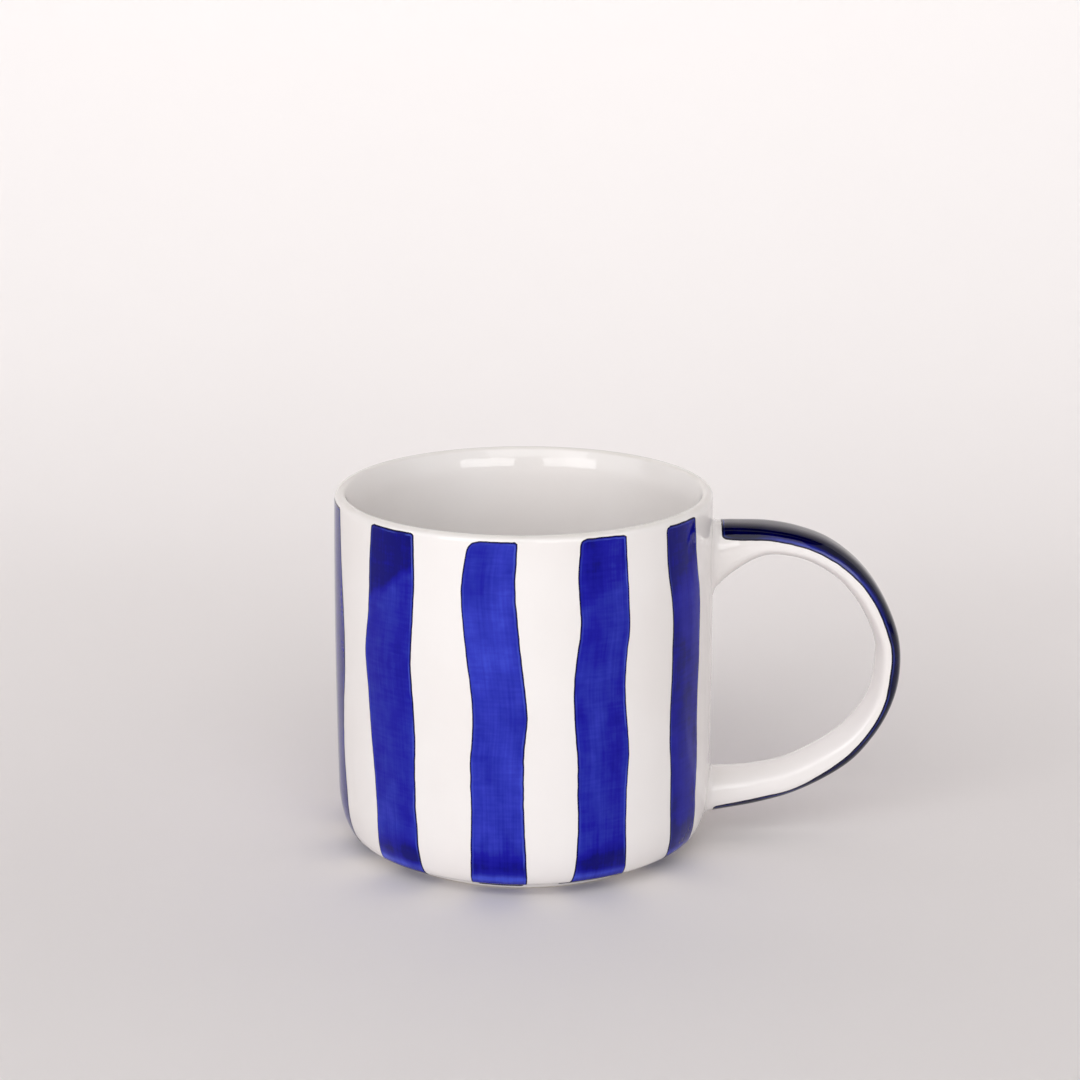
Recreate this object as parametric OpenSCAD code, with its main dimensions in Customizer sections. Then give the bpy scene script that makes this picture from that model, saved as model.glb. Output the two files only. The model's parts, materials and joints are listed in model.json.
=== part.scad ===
// Hand-painted stoneware mug: a straight thrown cup on a narrow foot, an ear-shaped handle luted
// to the wall with slip, ten upright brush strokes round the wall and one along the handle.
// Millimetres. The origin is the centre of the foot on the table, +Z is up, the handle is on +X.

/* [Cup] */
// Outside diameter just under the lip
rim_d = 90; // [70:1:110]
// Height from the table to the top of the lip
cup_h = 87.5; // [72:0.5:110]
// How far the wall swells at mid height, on the radius
belly = 0.44; // [0:0.02:2]
// Wall thickness below the lip
wall_t = 4; // [3.4:0.1:5]
// How far down the inside the wall thins towards the lip
lip_ease = 7; // [5:0.5:9]
// Height of the floor inside the cup
floor_z = 7.5; // [6.5:0.1:10]
// Radius between the floor and the wall, inside
floor_r = 8; // [4:0.5:12]

/* [Foot] */
// How far the wall curves in at the bottom
corner_in = 4; // [3:0.25:6]
// How tall that curve is
corner_up = 12; // [8:0.5:14]
// Outside diameter of the foot ring
foot_d = 71; // [60:1:76]
// Height of the foot ring, up to the underside of the cup
foot_h = 3.4; // [3:0.1:5]
// Width of the foot ring
foot_w = 2.6; // [2:0.1:5]

/* [Handle] */
// How far the handle stands out from the wall
reach = 45.8; // [36:0.2:56]
// Width of the handle across the fingers
handle_w = 13; // [10:0.5:16]
// Extra width where the handle meets the wall
root_flare = 1.6; // [0:0.2:3]
// Share of the thickness on the outer side
outer_share = 0.64; // [0.5:0.01:0.75]
// How square the outer side is; 2 is an ellipse
outer_power = 2.9; // [2:0.1:4]
// Size of the slip fillet round each root
slip_r = 2; // [1:0.1:2.4]

/* [Brush strokes] */
// Thickness of the painted strokes
paint_t = 0.2; // [0.1:0.05:0.4]
// Distance from the lip's shoulder up to the top of a stroke
stroke_over = 0.6; // [0:0.1:1.2]
// Radius of a stroke's corners, but for the upper left one, where the brush was put down
stroke_r = 0.8; // [0.4:0.1:2]
// Half of the handle stroke's greatest width, as an angle round the handle's section
band_half = 78; // [50:1:82]

/* [Hidden] */
glaze_white = [0.95, 0.94, 0.92];
slip_white = [0.90, 0.88, 0.84];
cobalt = [0.10, 0.12, 0.60];

rim_r = rim_d / 2;
bore_r = rim_r - wall_t;                          // inside of the cup, a straight cylinder
lip_r = 1.5;                                      // radius of the lip's outer side
lip_tilt = 25;                                    // lean of the inside where the lip's round edge ends
shoulder_z = cup_h - lip_r;                       // where the lip starts to turn
corner_z = foot_h + corner_up;                    // where the upright wall starts
base_r = rim_r - corner_in;                       // outside of the cup's flat underside
foot_r = foot_d / 2;
foot_round = 0.5;                                 // rounding on the foot ring's two edges
recess_z = foot_h - 0.9;                          // the underside is hollowed up to here
fillet_r = 1;                                     // between the underside and the foot ring

// The lip's inner side is a small arc, then a large one that meets the bore lip_ease below the top.
lip_lean = 1 / tan(lip_tilt / 2);
lip_half = wall_t - lip_r;
lip_in = (lip_lean * lip_half - lip_ease) / (lip_lean * cos(lip_tilt) - 1 + sin(lip_tilt));
ease_r = (lip_half - lip_in * cos(lip_tilt)) / (1 - cos(lip_tilt));

// ---- curves ----
// Radius of the outside wall at height z.
function belly_at(z) = belly * 4 * (z / cup_h) * (1 - z / cup_h);
corner_wide = corner_in + belly_at(corner_z);
function wall_r(z) =
    z >= corner_z ? rim_r + belly_at(z) :
    let (s = max(0, min(1, (corner_z - z) / corner_up)))
    base_r + corner_wide * sqrt(max(0, 1 - s * s));

// A smooth curve through a list of values or points, at t from 0 to one less than their number.
function spline(p, t) =
    let (n = len(p), i = max(0, min(n - 2, floor(t))), u = t - i,
         b = p[i], c = p[i + 1],
         a = i > 0 ? p[i - 1] : 2 * b - c,
         d = i + 2 < n ? p[i + 2] : 2 * c - b)
    b + 0.5 * u * ((c - a) + u * ((2 * a - 5 * b + 4 * c - d) + u * (3 * (b - c) + d - a)));

// A closed solid between two grids of points with the same rows and columns.
function grid_faces(rows, cols) =
    let (n = rows * cols)
    concat(
        [for (i = [0:rows - 2], j = [0:cols - 2])
            let (k = i * cols + j) each [[k, k + 1, k + cols + 1], [k, k + cols + 1, k + cols]]],
        [for (i = [0:rows - 2], j = [0:cols - 2])
            let (k = n + i * cols + j) each [[k, k + cols + 1, k + 1], [k, k + cols, k + cols + 1]]],
        [for (i = [0:rows - 2]) let (k = i * cols)
            each [[k, k + cols, n + k + cols], [k, n + k + cols, n + k]]],
        [for (i = [0:rows - 2]) let (k = i * cols + cols - 1)
            each [[k, n + k + cols, k + cols], [k, n + k, n + k + cols]]],
        [for (j = [0:cols - 2]) each [[j, n + j + 1, j + 1], [j, n + j, n + j + 1]]],
        [for (j = [0:cols - 2]) let (k = n - cols + j)
            each [[k, k + 1, n + k + 1], [k, n + k + 1, n + k]]]);

module skin_solid(under, over) {
    rows = len(under);
    cols = len(under[0]);
    polyhedron(
        points = concat([for (row = under, p = row) p], [for (row = over, p = row) p]),
        faces = grid_faces(rows, cols));
}

// ---- cup ----
function arc(cx, cz, rx, rz, from, to, n) =
    [for (i = [0:n]) let (a = from + (to - from) * i / n) [cx + rx * cos(a), cz + rz * sin(a)]];

module body() {
    foot_in = foot_r - foot_w;
    outline = concat(
        [[0, recess_z]],
        arc(foot_in - fillet_r, recess_z - fillet_r, fillet_r, fillet_r, 90, 0, 5),
        arc(foot_in + foot_round, foot_round, foot_round, foot_round, 180, 270, 5),
        arc(foot_r - foot_round, foot_round, foot_round, foot_round, 270, 360, 5),
        arc(foot_r + fillet_r, foot_h - fillet_r, fillet_r, fillet_r, 180, 90, 5),
        arc(base_r, corner_z, corner_wide, corner_up, -90, 0, 16),
        [for (i = [1:12]) let (z = corner_z + wall_run * i / 12) [wall_r(z), z]],
        arc(rim_r - lip_r, shoulder_z, lip_r, lip_r, 15, 90, 6),
        arc(rim_r - lip_r, cup_h - lip_in, lip_in, lip_in, 100, 180 - lip_tilt, 5),
        arc(bore_r + ease_r, cup_h - lip_ease, ease_r, ease_r, 182.5 - lip_tilt, 180, 9),
        arc(bore_r - floor_r, floor_z + floor_r, floor_r, floor_r, 0, -90, 12),
        [[0, floor_z]]);
    color(glaze_white) rotate_extrude($fn = 180) polygon(outline);
}

// ---- handle ----
// Stations from the upper root to the lower one: outer crest x, z and inner crest x, z,
// with x counted from the wall. They are for the reach and the cup height below.
station_reach = 45.8;
station_h = 87.5;
stations = [
    [ 0.2, 79.2,   0.3, 62.7],
    [ 6.0, 79.3,   5.6, 67.5],
    [13.0, 79.0,  12.2, 71.2],
    [21.0, 77.5,  18.8, 71.1],
    [28.5, 74.5,  24.8, 69.0],
    [35.7, 68.8,  30.7, 64.9],
    [41.3, 61.0,  35.9, 58.3],
    [45.2, 51.2,  39.6, 49.7],
    [45.8, 41.8,  39.8, 42.1],
    [44.0, 33.6,  38.2, 35.1],
    [39.7, 25.6,  34.5, 29.3],
    [33.5, 18.7,  29.0, 24.6],
    [22.8, 12.4,  19.6, 19.5],
    [12.0,  8.9,  10.0, 17.3],
    [-1.6,  6.5,   0.2, 16.7]];
last_station = len(stations) - 1;
rings_each = 5;                                   // rings between two stations
sides = 36;                                       // points round the section
root_stretch = 1.5;                               // the flare dies out over this many stations
slip_climb = 0.7;                                 // how far the slip climbs the handle, times slip_r

function toward(x, power) = sign(x) * pow(abs(x), power);

// A point on the handle's skin at station t and angle a round the section; 0 is the outer crest.
// lift stands it off the skin.
function handle_half(t) =
    let (near = max(0, 1 - min(t, last_station - t) / root_stretch))
    handle_w / 2 + root_flare / 2 * near * near;
function handle_skin(t, a, lift = 0) =
    let (s = spline(stations, t),
         kx = reach / station_reach, kz = cup_h / station_h,
         outer = [rim_r + s[0] * kx, s[1] * kz], inner = [rim_r + s[2] * kx, s[3] * kz],
         mid = outer + (inner - outer) * outer_share,
         away = (outer - inner) / norm(outer - inner),
         depth = cos(a) > 0 ? norm(outer - mid) : norm(inner - mid),
         half = handle_half(t),
         e = 2 / (cos(a) > 0 ? outer_power : 2),
         slope = [toward(cos(a), 2 - e) / depth, toward(sin(a), 2 - e) / half],
         n = slope / norm(slope),
         p = mid + away * (depth * toward(cos(a), e) + lift * n[0]))
    [p[0], half * toward(sin(a), e) + lift * n[1], p[1]];

// The same point pushed onto the cup's wall, level with where it was.
function on_wall(p) =
    [sqrt(max(0, pow(wall_r(p[2]), 2) - p[1] * p[1])), p[1], p[2]];
function root_ring(t, k = 1) =
    let (c = (handle_skin(t, 0) + handle_skin(t, 180)) / 2)
    [for (j = [0:sides - 1]) on_wall(c + (handle_skin(t, 360 * j / sides) - c) * k)];

module handle() {
    n = last_station * rings_each;
    middle = [for (i = [1:n - 1]) [for (j = [0:sides - 1])
        handle_skin(i / rings_each, 360 * j / sides)]];
    start = [for (k = [0.34, 0.67, 1]) root_ring(0, k)];
    end = [for (k = [1, 0.67, 0.34]) root_ring(last_station, k)];
    rings = concat(start, middle, end);
    tip_0 = on_wall((handle_skin(0, 0) + handle_skin(0, 180)) / 2);
    tip_1 = on_wall((handle_skin(last_station, 0) + handle_skin(last_station, 180)) / 2);
    count = len(rings) * sides;
    faces = concat(
        [for (i = [0:len(rings) - 2], j = [0:sides - 1])
            let (a = i * sides + j, b = i * sides + (j + 1) % sides)
            each [[a, b, b + sides], [a, b + sides, a + sides]]],
        [for (j = [0:sides - 1]) [count, (j + 1) % sides, j]],
        [for (j = [0:sides - 1]) [count + 1, count - sides + j, count - sides + (j + 1) % sides]]);
    color(glaze_white)
        polyhedron(points = concat([for (r = rings, p = r) p], [tip_0, tip_1]), faces = faces);
}

// A ring of slip pressed into the corner between a root and the wall. Its section is a concave
// fillet: the corner itself, a point up the handle, a curve, and a point out on the wall.
module slip_joint(t, inward) {
    c = (handle_skin(t, 0) + handle_skin(t, 180)) / 2;
    climb = slip_climb * slip_r / norm(handle_skin(t + inward, 0) - handle_skin(t, 0));
    sections = [for (j = [0:sides - 1])
        let (a = 360 * j / sides,
             corner = on_wall(handle_skin(t, a)),
             up = handle_skin(t + inward * climb, a),
             flat = [0, corner[1] - c[1], corner[2] - c[2]],
             out = on_wall(corner + flat / norm(flat) * slip_r))
        concat([corner],
               [for (s = [0:0.25:1]) (1 - s) * (1 - s) * up + 2 * s * (1 - s) * corner + s * s * out])];
    n = len(sections[0]);
    // the lower ring is built in the opposite order of rotation
    faces = [for (j = [0:sides - 1], k = [0:n - 1])
        let (a = j * n + k, b = j * n + (k + 1) % n,
             d = ((j + 1) % sides) * n + k, e = ((j + 1) % sides) * n + (k + 1) % n)
        each inward > 0 ? [[a, b, e], [a, e, d]] : [[a, e, b], [a, d, e]]];
    color(slip_white) polyhedron(points = [for (s = sections, p = s) p], faces = faces);
}
module upper_slip_joint() { slip_joint(0, 1); }
module lower_slip_joint() { slip_joint(last_station, -1); }

// ---- brush strokes ----
// A stroke follows the cup's outer skin from the lip to the bottom of the foot ring, in six
// stretches. Each distance is where a stretch ends, counted down from the lip's shoulder.
wall_run = shoulder_z - corner_z;
corner_run = PI / 4 * (3 * (corner_wide + corner_up)  // quarter of an ellipse, by Ramanujan
    - sqrt((3 * corner_wide + corner_up) * (corner_wide + 3 * corner_up)));
under_run = base_r - foot_r - fillet_r;
fillet_run = PI / 2 * fillet_r;
corner_end = wall_run + corner_run;
under_end = corner_end + under_run;
fillet_end = under_end + fillet_run;
foot_end = fillet_end + foot_h - fillet_r - foot_round;

// A point of the skin at distance d, with its normal: [radius, height, normal out, normal up].
function skin(d) =
    d < 0 ? let (a = -d / lip_r * 180 / PI)
        [rim_r - lip_r + lip_r * cos(a), shoulder_z + lip_r * sin(a), cos(a), sin(a)] :
    d < wall_run ? let (z = shoulder_z - d) [wall_r(z), z, 1, 0] :
    d < corner_end ? let (a = 90 * (d - wall_run) / corner_run,
                          n = [cos(a) / corner_wide, -sin(a) / corner_up])
        [base_r + corner_wide * cos(a), corner_z - corner_up * sin(a), n[0] / norm(n), n[1] / norm(n)] :
    d < under_end ? [base_r - (d - corner_end), foot_h, 0, -1] :
    d < fillet_end ? let (a = 90 * (d - under_end) / fillet_run)
        [foot_r + fillet_r - fillet_r * sin(a), foot_h - fillet_r + fillet_r * cos(a), sin(a), -cos(a)] :
    [foot_r, foot_h - fillet_r - (d - fillet_end), 1, 0];
function skin_point(d, azimuth, lift) =
    let (s = skin(d), r = s[0] + lift * s[2])
    [r * sin(azimuth), -r * cos(azimuth), s[1] + lift * s[3]];

// Each stroke: azimuths of its left and right edge at ten even steps from its top to its
// bottom, in degrees round from -Y towards +X, then in mm how far it stops short at the top and
// at the bottom and the radius of its upper left corner. The brush wandered on every one.
strokes = [
    [[-86.5, -87.4, -87.0, -85.6, -84.5, -85.2, -86.6, -86.4, -86.0, -86.5],
     [-71.9, -70.6, -69.0, -67.8, -68.4, -70.5, -70.4, -68.6, -68.0, -67.5], 0.2, 0.6, 1.6],
    [[-50.7, -51.6, -52.2, -54.1, -52.8, -51.8, -50.2, -49.8, -51.5, -52.0],
     [-33.2, -33.0, -33.6, -34.5, -33.7, -33.2, -33.5, -33.0, -32.3, -32.5], 0.0, 0.2, 1.2],
    [[-16.1, -18.3, -17.8, -16.4, -15.0, -15.9, -15.8, -16.0, -17.0, -18.5],
     [ -1.7,  -2.2,  -1.4,   0.1,   1.0,   0.1,   0.0,   0.5,   1.0,   0.4], 0.1, 0.0, 2.6],
    [[ 16.3,  15.4,  16.1,  14.5,  14.2,  15.3,  15.4,  15.4,  14.3,  12.0],
     [ 30.8,  31.5,  32.2,  30.9,  30.9,  32.2,  31.7,  31.6,  33.0,  31.5], 0.0, 0.1, 1.6],
    [[ 45.8,  46.4,  48.7,  48.6,  48.0,  47.7,  48.6,  49.0,  51.0,  51.0],
     [ 61.5,  62.8,  65.0,  65.0,  64.2,  64.1,  64.4,  63.9,  65.8,  65.0], 0.3, 0.3, 1.6],
    [[114.5, 112.8, 113.4, 114.6, 114.0, 113.2, 112.9, 113.8, 112.5, 112.0],
     [128.0, 130.6, 131.2, 130.4, 129.6, 130.3, 131.4, 130.8, 132.0, 131.0], 0.2, 0.4, 2.0],
    [[147.0, 146.0, 145.2, 146.4, 147.2, 146.6, 145.6, 146.1, 144.8, 145.2],
     [160.8, 162.6, 163.2, 162.4, 161.8, 162.7, 163.6, 163.0, 164.4, 163.6], 0.0, 0.1, 1.4],
    [[180.4, 178.6, 179.2, 180.0, 179.4, 178.2, 178.6, 179.3, 177.6, 178.0],
     [193.6, 195.4, 194.8, 196.0, 196.6, 195.6, 194.9, 195.3, 197.0, 196.2], 0.3, 0.5, 2.4],
    [[212.6, 211.4, 210.6, 211.8, 212.4, 211.6, 210.9, 211.3, 209.8, 210.5],
     [226.2, 228.3, 229.0, 227.9, 227.2, 228.4, 228.9, 228.2, 229.6, 228.8], 0.1, 0.0, 1.8],
    [[245.2, 243.4, 244.1, 244.9, 243.8, 243.0, 243.7, 244.4, 243.0, 243.6],
     [259.0, 260.6, 259.8, 261.0, 261.7, 260.9, 260.2, 260.8, 262.2, 261.6], 0.2, 0.3, 1.5]];
stroke_rows = 34;
stroke_cols = 6;
row_crowding = 0.85;                              // rows sit closer together at the two ends

// How many degrees a corner of radius r cuts off an edge, at d, a distance away from the end.
function corner_cut(away, r, d) =
    away >= r ? 0 : (r - sqrt(max(0, r * r - (r - away) * (r - away)))) * 180 / PI / skin(d)[0];

function stroke_grid(s, lift) =
    let (top = -stroke_over + s[2], bottom = foot_end - s[3],
         length = bottom - top, steps = len(s[0]) - 1)
    [for (i = [0:stroke_rows])
        let (t = i / stroke_rows - row_crowding * sin(360 * i / stroke_rows) / (2 * PI),
             d = top + length * t,
             low_cut = corner_cut(bottom - d, stroke_r, d),
             left = spline(s[0], steps * t) + corner_cut(d - top, s[4], d) + low_cut,
             right = spline(s[1], steps * t) - corner_cut(d - top, stroke_r, d) - low_cut)
        [for (j = [0:stroke_cols])
            skin_point(d, left + (right - left) * j / stroke_cols, lift)]];

module stripe(number) {
    s = strokes[number - 1];
    color(cobalt) skin_solid(stroke_grid(s, 0), stroke_grid(s, paint_t));
}

// The stroke along the handle covers its outer side and stops short of both roots. Half its
// width at each of the handle's stations, in degrees, is counted here from the greatest.
band_less = [36, 22, 11, 4, 2, 2, 4, 3, 0, 2, 7, 13, 23, 24, 28];
band_from = 0.24;
band_to = last_station - 0.15;
band_cols = 12;
band_corner = 0.2;                                // its ends are rounded over this many stations
function band_angle(t) = acos(pow(cos(band_half - spline(band_less, t)), outer_power / 2));

function band_grid(lift) =
    let (n = round((band_to - band_from) * rings_each))
    [for (i = [0:n])
        let (t = band_from + (band_to - band_from) * i / n,
             near = min(1, min(t - band_from, band_to - t) / band_corner),
             half = band_angle(t) * (0.8 + 0.2 * sqrt(near * (2 - near))))
        [for (j = [0:band_cols]) handle_skin(t, -half + 2 * half * j / band_cols, lift)]];

module handle_stripe() {
    color(cobalt) skin_solid(band_grid(0), band_grid(paint_t));
}

body();
handle();
upper_slip_joint();
lower_slip_joint();
for (i = [1:len(strokes)])
    stripe(i);
handle_stripe();
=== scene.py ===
"""Looks for the hand-painted mug: its clay, glaze, slip and brush strokes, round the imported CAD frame."""

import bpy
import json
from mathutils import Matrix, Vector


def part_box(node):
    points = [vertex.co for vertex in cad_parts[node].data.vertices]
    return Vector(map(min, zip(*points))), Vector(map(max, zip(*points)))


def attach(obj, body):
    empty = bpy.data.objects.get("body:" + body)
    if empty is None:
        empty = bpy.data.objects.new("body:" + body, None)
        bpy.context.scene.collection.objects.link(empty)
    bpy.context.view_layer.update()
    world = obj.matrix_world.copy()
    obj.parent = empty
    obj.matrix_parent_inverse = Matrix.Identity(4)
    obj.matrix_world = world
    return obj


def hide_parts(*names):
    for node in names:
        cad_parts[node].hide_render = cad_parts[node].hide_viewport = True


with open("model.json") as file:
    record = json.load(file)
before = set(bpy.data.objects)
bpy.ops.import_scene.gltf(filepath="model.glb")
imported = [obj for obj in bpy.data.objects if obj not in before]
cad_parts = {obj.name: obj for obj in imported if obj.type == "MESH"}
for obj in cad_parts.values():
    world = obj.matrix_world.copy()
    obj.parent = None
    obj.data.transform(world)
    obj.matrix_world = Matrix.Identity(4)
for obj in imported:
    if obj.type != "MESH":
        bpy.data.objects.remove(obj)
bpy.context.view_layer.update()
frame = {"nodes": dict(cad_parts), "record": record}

import json
import math

import bpy
import numpy as np
from mathutils import Vector, noise

MM = 0.001

# ---------------------------------------------------------------- sizes, from the frame
mounts = {m["name"]: m for m in frame["record"]["mounts"]}
CUP_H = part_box("body")[1].z
BORE_R = mounts["mouth"]["dims"]["r_mm"] * MM       # inside of the cup, a straight cylinder
WALL_T = 4 * MM
RIM_R = BORE_R + WALL_T

# The cup's section, as in the CAD.
BELLY = 0.44 * MM                                   # swell of the wall at mid height
LIP_R = 1.5 * MM                                    # outer side of the lip
LIP_EASE = 7 * MM                                   # the wall thins over this much below the lip
LIP_TILT = math.radians(25)                         # lean of the inside where the lip's round edge ends
FLOOR_Z = 7.5 * MM
FLOOR_R = 8 * MM
CORNER_IN = 4 * MM
CORNER_UP = 12 * MM
FOOT_R = 35.5 * MM
FOOT_H = 3.4 * MM
FOOT_W = 2.6 * MM
FOOT_ROUND = 0.5 * MM
FILLET_R = 1 * MM
RECESS_Z = FOOT_H - 0.9 * MM

SHOULDER_Z = CUP_H - LIP_R
CORNER_Z = FOOT_H + CORNER_UP
BASE_R = RIM_R - CORNER_IN

# The lip's inner side is a small arc, then a large one that meets the bore LIP_EASE below the top.
LIP_LEAN = 1 / math.tan(LIP_TILT / 2)
LIP_IN = ((LIP_LEAN * (WALL_T - LIP_R) - LIP_EASE)
          / (LIP_LEAN * math.cos(LIP_TILT) - 1 + math.sin(LIP_TILT)))
EASE_R = (WALL_T - LIP_R - LIP_IN * math.cos(LIP_TILT)) / (1 - math.cos(LIP_TILT))


def belly_at(z):
    return BELLY * 4 * (z / CUP_H) * (1 - z / CUP_H)


CORNER_WIDE = CORNER_IN + belly_at(CORNER_Z)


def quarter_ellipse(a, b):
    """Length of a quarter of an ellipse, by Ramanujan's formula."""
    return math.pi / 4 * (3 * (a + b) - math.sqrt((3 * a + b) * (a + 3 * b)))


# Distances down the outer skin, from the lip's shoulder, at which each stretch of it ends.
WALL_END = SHOULDER_Z - CORNER_Z
CORNER_END = WALL_END + quarter_ellipse(CORNER_WIDE, CORNER_UP)
UNDER_END = CORNER_END + BASE_R - FOOT_R - FILLET_R
FILLET_END = UNDER_END + math.pi / 2 * FILLET_R
FOOT_END = FILLET_END + FOOT_H - FILLET_R - FOOT_ROUND
LIP_TOP = -math.pi / 2 * LIP_R                      # the top of the lip, as a distance


def wall_radius(z):
    """Radius of the cup's outside at height z."""
    if z >= CORNER_Z:
        return RIM_R + belly_at(z)
    s = min(1.0, (CORNER_Z - z) / CORNER_UP)
    return BASE_R + CORNER_WIDE * math.sqrt(max(0.0, 1 - s * s))


def skin(d):
    """(radius, height, outward part of the normal, upward part) of the outer skin at distance d."""
    if d < 0:
        a = -d / LIP_R
        return RIM_R - LIP_R + LIP_R * math.cos(a), SHOULDER_Z + LIP_R * math.sin(a), math.cos(a), math.sin(a)
    if d < WALL_END:
        return wall_radius(SHOULDER_Z - d), SHOULDER_Z - d, 1.0, 0.0
    if d < CORNER_END:
        a = math.pi / 2 * (d - WALL_END) / (CORNER_END - WALL_END)
        n = Vector((math.cos(a) / CORNER_WIDE, -math.sin(a) / CORNER_UP)).normalized()
        return BASE_R + CORNER_WIDE * math.cos(a), CORNER_Z - CORNER_UP * math.sin(a), n.x, n.y
    if d < UNDER_END:
        return BASE_R - (d - CORNER_END), FOOT_H, 0.0, -1.0
    if d < FILLET_END:
        a = (d - UNDER_END) / FILLET_R
        return (FOOT_R + FILLET_R - FILLET_R * math.sin(a), FOOT_H - FILLET_R + FILLET_R * math.cos(a),
                math.sin(a), -math.cos(a))
    if d < FOOT_END:
        return FOOT_R, FOOT_H - FILLET_R - (d - FILLET_END), 1.0, 0.0
    a = min(math.pi / 2, (d - FOOT_END) / FOOT_ROUND)
    return (FOOT_R - FOOT_ROUND + FOOT_ROUND * math.cos(a), FOOT_ROUND - FOOT_ROUND * math.sin(a),
            math.cos(a), -math.sin(a))


# The wall was shaped by hand, so it is never a perfect cylinder: it dips in by up to this much.
HAND_DIP = 0.10 * MM
HAND_SCALE = 0.028                                  # size of the dips
TURN_RINGS = 0.002 * MM                             # faint rings left by turning
TURN_PITCH = 3.1 * MM


def hand_dip(azimuth, z):
    """How far the hand-shaped outer wall lies inside its nominal surface there."""
    p = Vector((math.sin(azimuth), -math.cos(azimuth), 0)) * RIM_R + Vector((0, 0, z * 0.7))
    dip = HAND_DIP * 0.5 * (1 + noise.noise(p / HAND_SCALE))
    rings = TURN_RINGS * (1 + math.sin(2 * math.pi * z / TURN_PITCH + noise.noise(p / 0.05)))
    fade = min(1.0, max(0.0, (z - FOOT_H) / (4 * MM)))
    return (dip + rings) * fade


def skin_point(d, azimuth, lift=0.0):
    """A point of the outer skin at distance d and azimuth, in radians from -Y towards +X."""
    r, z, out, up = skin(d)
    r += lift * out - hand_dip(azimuth, z)
    return r * math.sin(azimuth), -r * math.cos(azimuth), z + lift * up


# ---------------------------------------------------------------- mesh helpers
def make_piece(name, points, faces):
    """A smooth-shaded mesh object from points in metres and faces."""
    mesh = bpy.data.meshes.new(name)
    mesh.from_pydata([tuple(p) for p in points], [], faces)
    mesh.validate()
    mesh.polygons.foreach_set("use_smooth", [True] * len(mesh.polygons))
    mesh.update()
    piece = bpy.data.objects.new(name, mesh)
    bpy.context.scene.collection.objects.link(piece)
    return piece


def ring_faces(rings, sides):
    """Faces between closed rings of points, each ring with the same number of sides."""
    faces = []
    for i in range(rings - 1):
        for j in range(sides):
            a = i * sides + j
            b = i * sides + (j + 1) % sides
            faces.append((a, b, b + sides, a + sides))
    return faces


def add_value(piece, name, values):
    """Stores one number per vertex under a name that the materials read."""
    piece.data.attributes.new(name, "FLOAT", "POINT").data.foreach_set("value", [float(v) for v in values])


def add_grids(piece, **grids):
    """Stores grids of numbers on a slab made by grid_solid: the same ones on its upper and lower side."""
    for name, grid in grids.items():
        add_value(piece, name, np.concatenate([grid.ravel(), grid.ravel()]))


def finish_piece(piece, slot, *nodes):
    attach(piece, "root")
    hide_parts(*nodes)


def smoothstep(x, low, high):
    s = np.clip((np.asarray(x, dtype=float) - low) / (high - low), 0, 1)
    return s * s * (3 - 2 * s)


def run_length(points):
    """Way along a line of points, from the first one to each of them."""
    return np.concatenate([[0], np.cumsum(np.linalg.norm(np.diff(points, axis=0), axis=1))])


def grid_noise(across, along, wide, long, seed):
    """Noise of -1 to 1 over a grid of places in mm, in patches that are wide across and long along it."""
    return np.array([[noise.noise(Vector((x / wide, y / long, seed))) for x, y in zip(xs, ys)]
                     for xs, ys in zip(across, along)])


def spaced(length, coarse, fine=(0, 0.1, 0.2, 0.3, 0.42, 0.56, 0.72, 0.92, 1.2, 1.6)):
    """Offsets in mm from 0 to length, close together at both ends and coarse apart in the middle."""
    count = max(2, round((length - 2 * fine[-1]) / coarse))
    middle = np.linspace(fine[-1], length - fine[-1], count + 1)[1:-1]
    return np.concatenate([fine, middle, length - np.array(fine[::-1])])


def through(x, y, at):
    """A smooth curve through the points (x, y), read at other places."""
    slope = np.gradient(y, x)
    i = np.clip(np.searchsorted(x, at) - 1, 0, len(x) - 2)
    h = x[i + 1] - x[i]
    u = np.clip((at - x[i]) / h, 0, 1)
    a = (1 + 2 * u) * (1 - u) ** 2
    b = u * (1 - u) ** 2
    c = u * u * (3 - 2 * u)
    d = u * u * (u - 1)
    return a * y[i] + b * h * slope[i] + c * y[i + 1] + d * h * slope[i + 1]


# ---------------------------------------------------------------- cup
AROUND = 320                                        # points round the cup


def arc_rows(cr, cz, rr, rz, start, end, count):
    """Points of part of an ellipse in the cup's section, angles in degrees."""
    angles = [math.radians(start + (end - start) * i / count) for i in range(count + 1)]
    return [(cr + rr * math.cos(a), cz + rz * math.sin(a)) for a in angles]


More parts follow.
